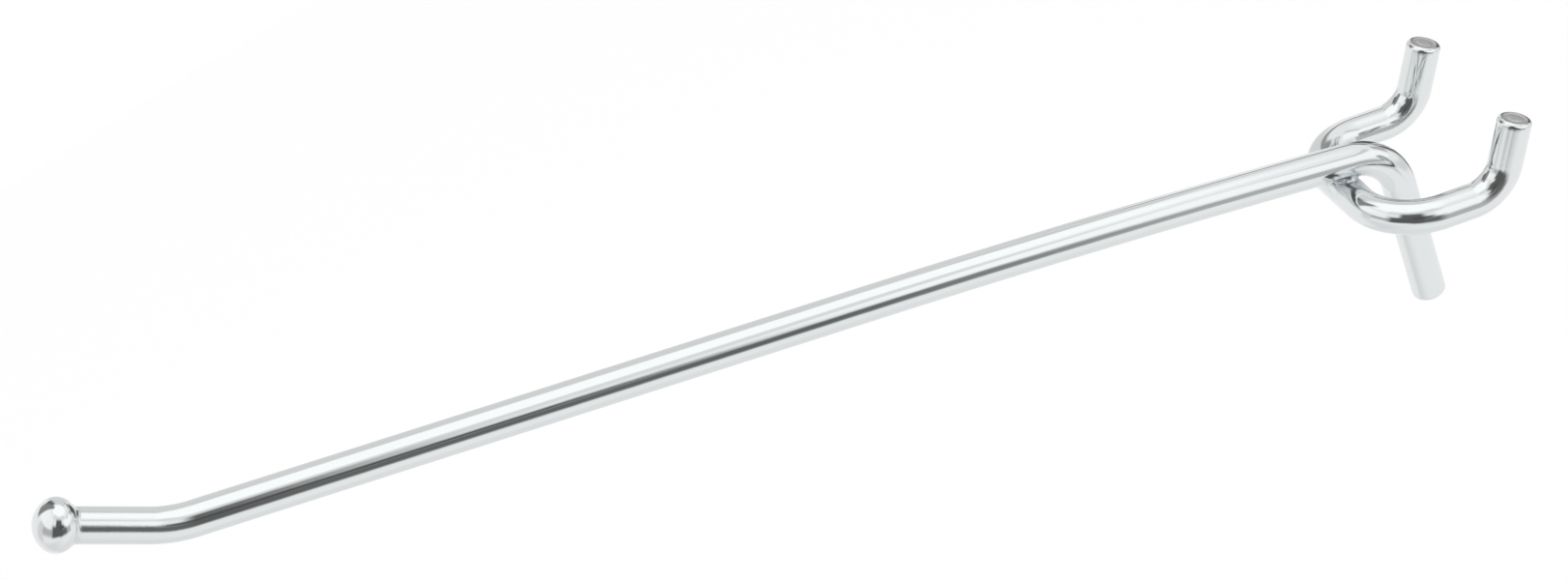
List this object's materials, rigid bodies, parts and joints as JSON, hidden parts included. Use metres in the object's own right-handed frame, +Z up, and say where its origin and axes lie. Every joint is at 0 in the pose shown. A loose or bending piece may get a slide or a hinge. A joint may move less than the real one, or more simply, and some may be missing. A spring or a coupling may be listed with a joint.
{
  "type": "pegboard hook",
  "caption": "Chrome wire hook for a pegboard: a sloping arm with a ball tip, a horseshoe of wire welded under it that ends in upturned prongs, and a leg that rests on the board.",
  "frame": {"origin": "on the board's front face, midway between the axes of the prong wire's legs where they pass through that face", "axes": "+Y into the board, -Y out to the room along the arm, +Z up, +X to the right for a person who faces along +Y"},
  "size_m": [0.0304, 0.2087, 0.0798],
  "materials": {
    "wire": "bright plated wire with faint draw marks",
    "ball": "bright plated, smooth",
    "weld": "plated over rough weld metal, duller"
  },
  "bodies": {
    "root": {"arm_wire": "wire", "prong_wire": "wire", "cross_weld": "weld", "ball_tip": "ball", "ball_weld": "weld"}
  },
  "joints": []
}
